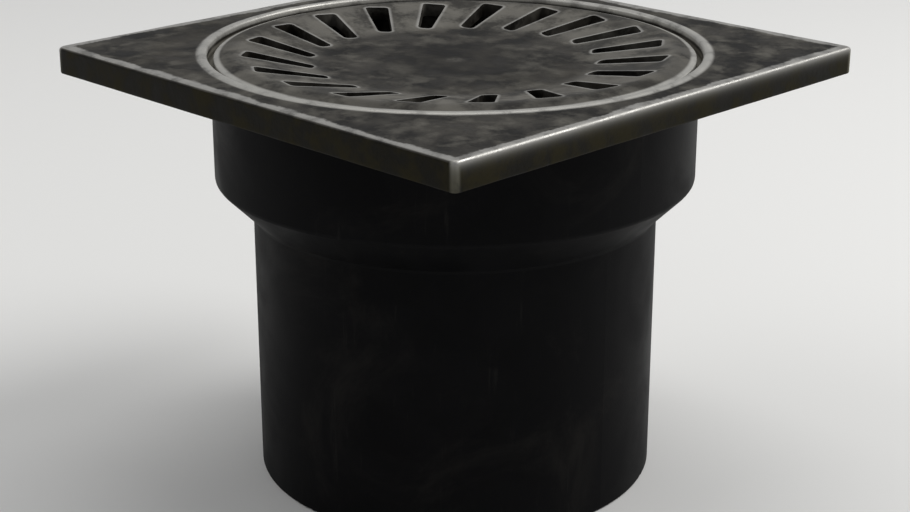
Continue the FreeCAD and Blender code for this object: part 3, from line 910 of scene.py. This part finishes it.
def makeBlackPlastic(look):
    finish, tree, shader = newFinish("blackPlastic")
    place = addNode(tree, "ShaderNodeTexCoord")
    here = place.outputs["Object"]
    clouds = speckle(tree, here, **look["clouds"])
    grain = speckle(tree, here, **look["grain"])
    drawn = addNode(tree, "ShaderNodeMapping")  # rub marks run along the pipe
    drawn.inputs["Scale"].default_value = look["markStretch"]
    tree.links.new(here, drawn.inputs["Vector"])
    marks = speckle(tree, drawn.outputs["Vector"], **look["marks"])
    film = speckle(tree, here, **look["film"])
    tone = mixColours(tree, fade(tree, clouds, *look["lightSpan"]), look["dark"], look["light"])
    tone = mixColours(tree, fade(tree, film, *look["dustSpan"]), tone, look["dust"])
    rubs = times(tree, fade(tree, marks, *look["markSpan"]), fade(tree, clouds, *look["scuffSpan"]))
    tone = mixColours(tree, rubs, tone, look["scuff"])
    tree.links.new(tone, shader.inputs["Base Color"])
    rough = fade(tree, clouds, *look["roughSpan"])
    rough = work(tree, "ADD", rough, times(tree, rubs, look["scuffRoughness"]))
    tree.links.new(rough, shader.inputs["Roughness"])
    shader.inputs["Specular IOR Level"].default_value = look["specular"]
    addBump(tree, shader, grain, look)
    return finish


greyPlastic = {
    "dark": shade(116, 116, 115),
    "light": shade(126, 126, 124),
    "filmTone": shade(96, 92, 82),
    "clouds": {"scale": 60, "detail": 7, "roughness": 0.6, "distortion": 0.4},
    "grain": {"scale": 2100, "detail": 2, "roughness": 0.5},
    "film": {"scale": 90, "detail": 8, "roughness": 0.7, "distortion": 1.0},
    "lightSpan": (0.35, 0.65),
    "filmSpan": (0.5, 0.74, 0, 0.3),
    "roughSpan": (0.3, 0.7, 0.4, 0.6),
    "bumpStrength": 0.1,
    "bumpDistance": 0.0002,
}


def makeGreyPlastic(look):
    finish, tree, shader = newFinish("greyPlastic")
    place = addNode(tree, "ShaderNodeTexCoord")
    here = place.outputs["Object"]
    clouds = speckle(tree, here, **look["clouds"])
    grain = speckle(tree, here, **look["grain"])
    film = speckle(tree, here, **look["film"])
    tone = mixColours(tree, fade(tree, clouds, *look["lightSpan"]), look["dark"], look["light"])
    tone = mixColours(tree, fade(tree, film, *look["filmSpan"]), tone, look["filmTone"])
    tree.links.new(tone, shader.inputs["Base Color"])
    tree.links.new(fade(tree, film, *look["roughSpan"]), shader.inputs["Roughness"])
    addBump(tree, shader, grain, look)
    return finish


sealRubber = {
    "dark": shade(26, 26, 26),
    "light": shade(44, 43, 42),
    "dust": {"scale": 320, "detail": 6, "roughness": 0.6},
    "lightSpan": (0.4, 0.7),
    "roughSpan": (0.3, 0.7, 0.6, 0.8),
    "bumpStrength": 0.15,
    "bumpDistance": 0.0002,
}


def makeSealRubber(look):
    finish, tree, shader = newFinish("sealRubber")
    place = addNode(tree, "ShaderNodeTexCoord")
    dust = speckle(tree, place.outputs["Object"], **look["dust"])
    tone = mixColours(tree, fade(tree, dust, *look["lightSpan"]), look["dark"], look["light"])
    tree.links.new(tone, shader.inputs["Base Color"])
    tree.links.new(fade(tree, dust, *look["roughSpan"]), shader.inputs["Roughness"])
    addBump(tree, shader, dust, look)
    return finish


def dress(piece, finish):
    piece.data.materials.clear()
    piece.data.materials.append(finish)


ironFinish = makeWornIron(wornIron)
blackFinish = makeBlackPlastic(blackPlastic)
greyFinish = makeGreyPlastic(greyPlastic)
rubberFinish = makeSealRubber(sealRubber)
dress(plate, ironFinish)
dress(grate, ironFinish)
dress(nodes["pot"], blackFinish)
for nodeName in ("trap_funnel", "trap_cup"):
    dress(nodes[nodeName], greyFinish)
for nodeName in ("frame_seal", "funnel_seal"):
    dress(nodes[nodeName], rubberFinish)
print("finishes on", len(nodes), "nodes")


# floor, light and camera
stage = {
    "floorSize": 12.0,
    "floorColour": shade(224, 223, 220),
    "floorRoughness": 0.8,
    "worldColour": shade(236, 238, 242),
    "worldStrength": 0.38,
    "lamps": (
        {"name": "keyLamp", "place": (0.68, 0.82, 1.1), "width": 0.85, "power": 14.5},
        {"name": "fillLamp", "place": (-0.95, -0.7, 0.95), "width": 0.9, "power": 4.5},
        {"name": "topLamp", "place": (-0.25, 0.3, 1.5), "width": 0.9, "power": 5.0},
    ),
    "lampTarget": (0, 0, 0.09),
    "lens": 72.83,
    "sensor": 36.0,
    "clipStart": 0.01,
    "cameraPlace": (0.3398, -0.3398, 0.2315),
    "cameraTurn": (70.21, 0, 45),
}


def makeStage(look):
    bpy.ops.mesh.primitive_plane_add(size=look["floorSize"], location=(0, 0, 0))
    floor = bpy.context.object
    floor.name = "paleFloor"
    finish, tree, shader = newFinish("paleFloor")
    shader.inputs["Base Color"].default_value = look["floorColour"]
    shader.inputs["Roughness"].default_value = look["floorRoughness"]
    dress(floor, finish)

    world = bpy.data.worlds.new("softRoom")
    world.use_nodes = True
    room = world.node_tree.nodes["Background"]
    room.inputs["Color"].default_value = look["worldColour"]
    room.inputs["Strength"].default_value = look["worldStrength"]
    bpy.context.scene.world = world

    for kind in look["lamps"]:
        lamp = bpy.data.lights.new(kind["name"], type="AREA")
        lamp.shape = "DISK"
        lamp.size = kind["width"]
        lamp.energy = kind["power"]
        holder = bpy.data.objects.new(kind["name"], lamp)
        holder.location = kind["place"]
        aim = Vector(look["lampTarget"]) - Vector(kind["place"])
        holder.rotation_euler = aim.to_track_quat("-Z", "Y").to_euler()
        bpy.context.scene.collection.objects.link(holder)

    lens = bpy.data.cameras.new("drainCamera")
    lens.lens = look["lens"]
    lens.sensor_width = look["sensor"]
    lens.clip_start = look["clipStart"]
    camera = bpy.data.objects.new("drainCamera", lens)
    camera.location = look["cameraPlace"]
    camera.rotation_euler = [math.radians(angle) for angle in look["cameraTurn"]]
    bpy.context.scene.collection.objects.link(camera)
    bpy.context.scene.camera = camera
    bpy.context.scene.view_settings.view_transform = "Standard"


makeStage(stage)
print("stage set")
